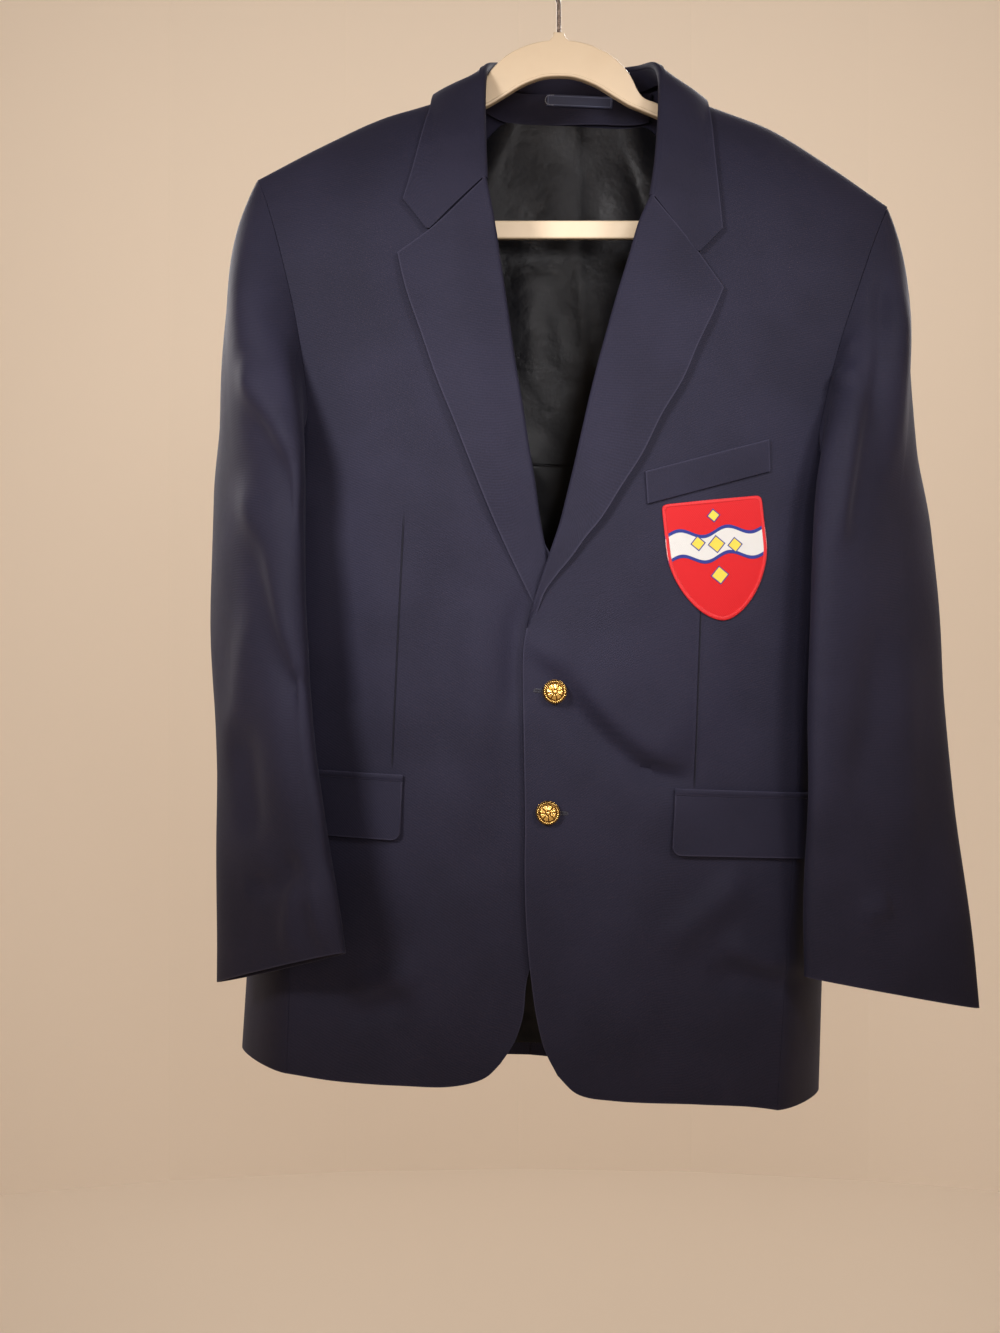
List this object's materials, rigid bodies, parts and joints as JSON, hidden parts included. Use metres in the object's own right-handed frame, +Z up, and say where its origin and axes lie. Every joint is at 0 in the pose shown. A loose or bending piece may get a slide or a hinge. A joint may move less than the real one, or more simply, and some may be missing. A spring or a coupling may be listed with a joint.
{
  "type": "blazer on a hanger",
  "caption": "Single-breasted wool blazer with notched lapels and shank buttons, hanging closed on a moulded plastic hanger with a wire hook.",
  "frame": {"origin": "inside top of the hanger's hook, where the hook bears on a rail; the rail would run along Y", "axes": "+Z up, -Y out of the coat's front, towards the viewer, +X to the wearer's left"},
  "size_m": [0.6416, 0.2079, 0.9831],
  "materials": {
    "navy_wool": "soft matt worsted wool",
    "navy_trim": "soft matt worsted wool",
    "black_satin": "satin lining",
    "gold_button": "polished gold colour",
    "badge_red": "embroidered badge",
    "label_blue": "woven label, blank",
    "cream_plastic": "smooth moulded",
    "hook_steel": "dark bronzed wire"
  },
  "bodies": {
    "root": {"front_right": "navy_wool", "front_left": "navy_wool", "side_panel_right": "navy_wool", "side_panel_left": "navy_wool", "back_right": "navy_wool", "back_left": "navy_wool", "sleeve_right_upper": "navy_wool", "sleeve_right_under": "navy_wool", "sleeve_left_upper": "navy_wool", "sleeve_left_under": "navy_wool", "lapel_right": "navy_wool", "lapel_left": "navy_wool", "collar": "navy_wool", "collar_stand": "navy_wool", "neck_facing": "navy_wool", "flap_right": "navy_trim", "flap_left": "navy_trim", "jetting_right": "navy_trim", "jetting_left": "navy_trim", "welt_pocket": "navy_trim", "lining_back": "black_satin", "patch": "badge_red", "label": "label_blue", "button_upper": "gold_button", "button_lower": "gold_button", "hanger": "cream_plastic", "hanger_hook": "hook_steel"}
  },
  "joints": []
}
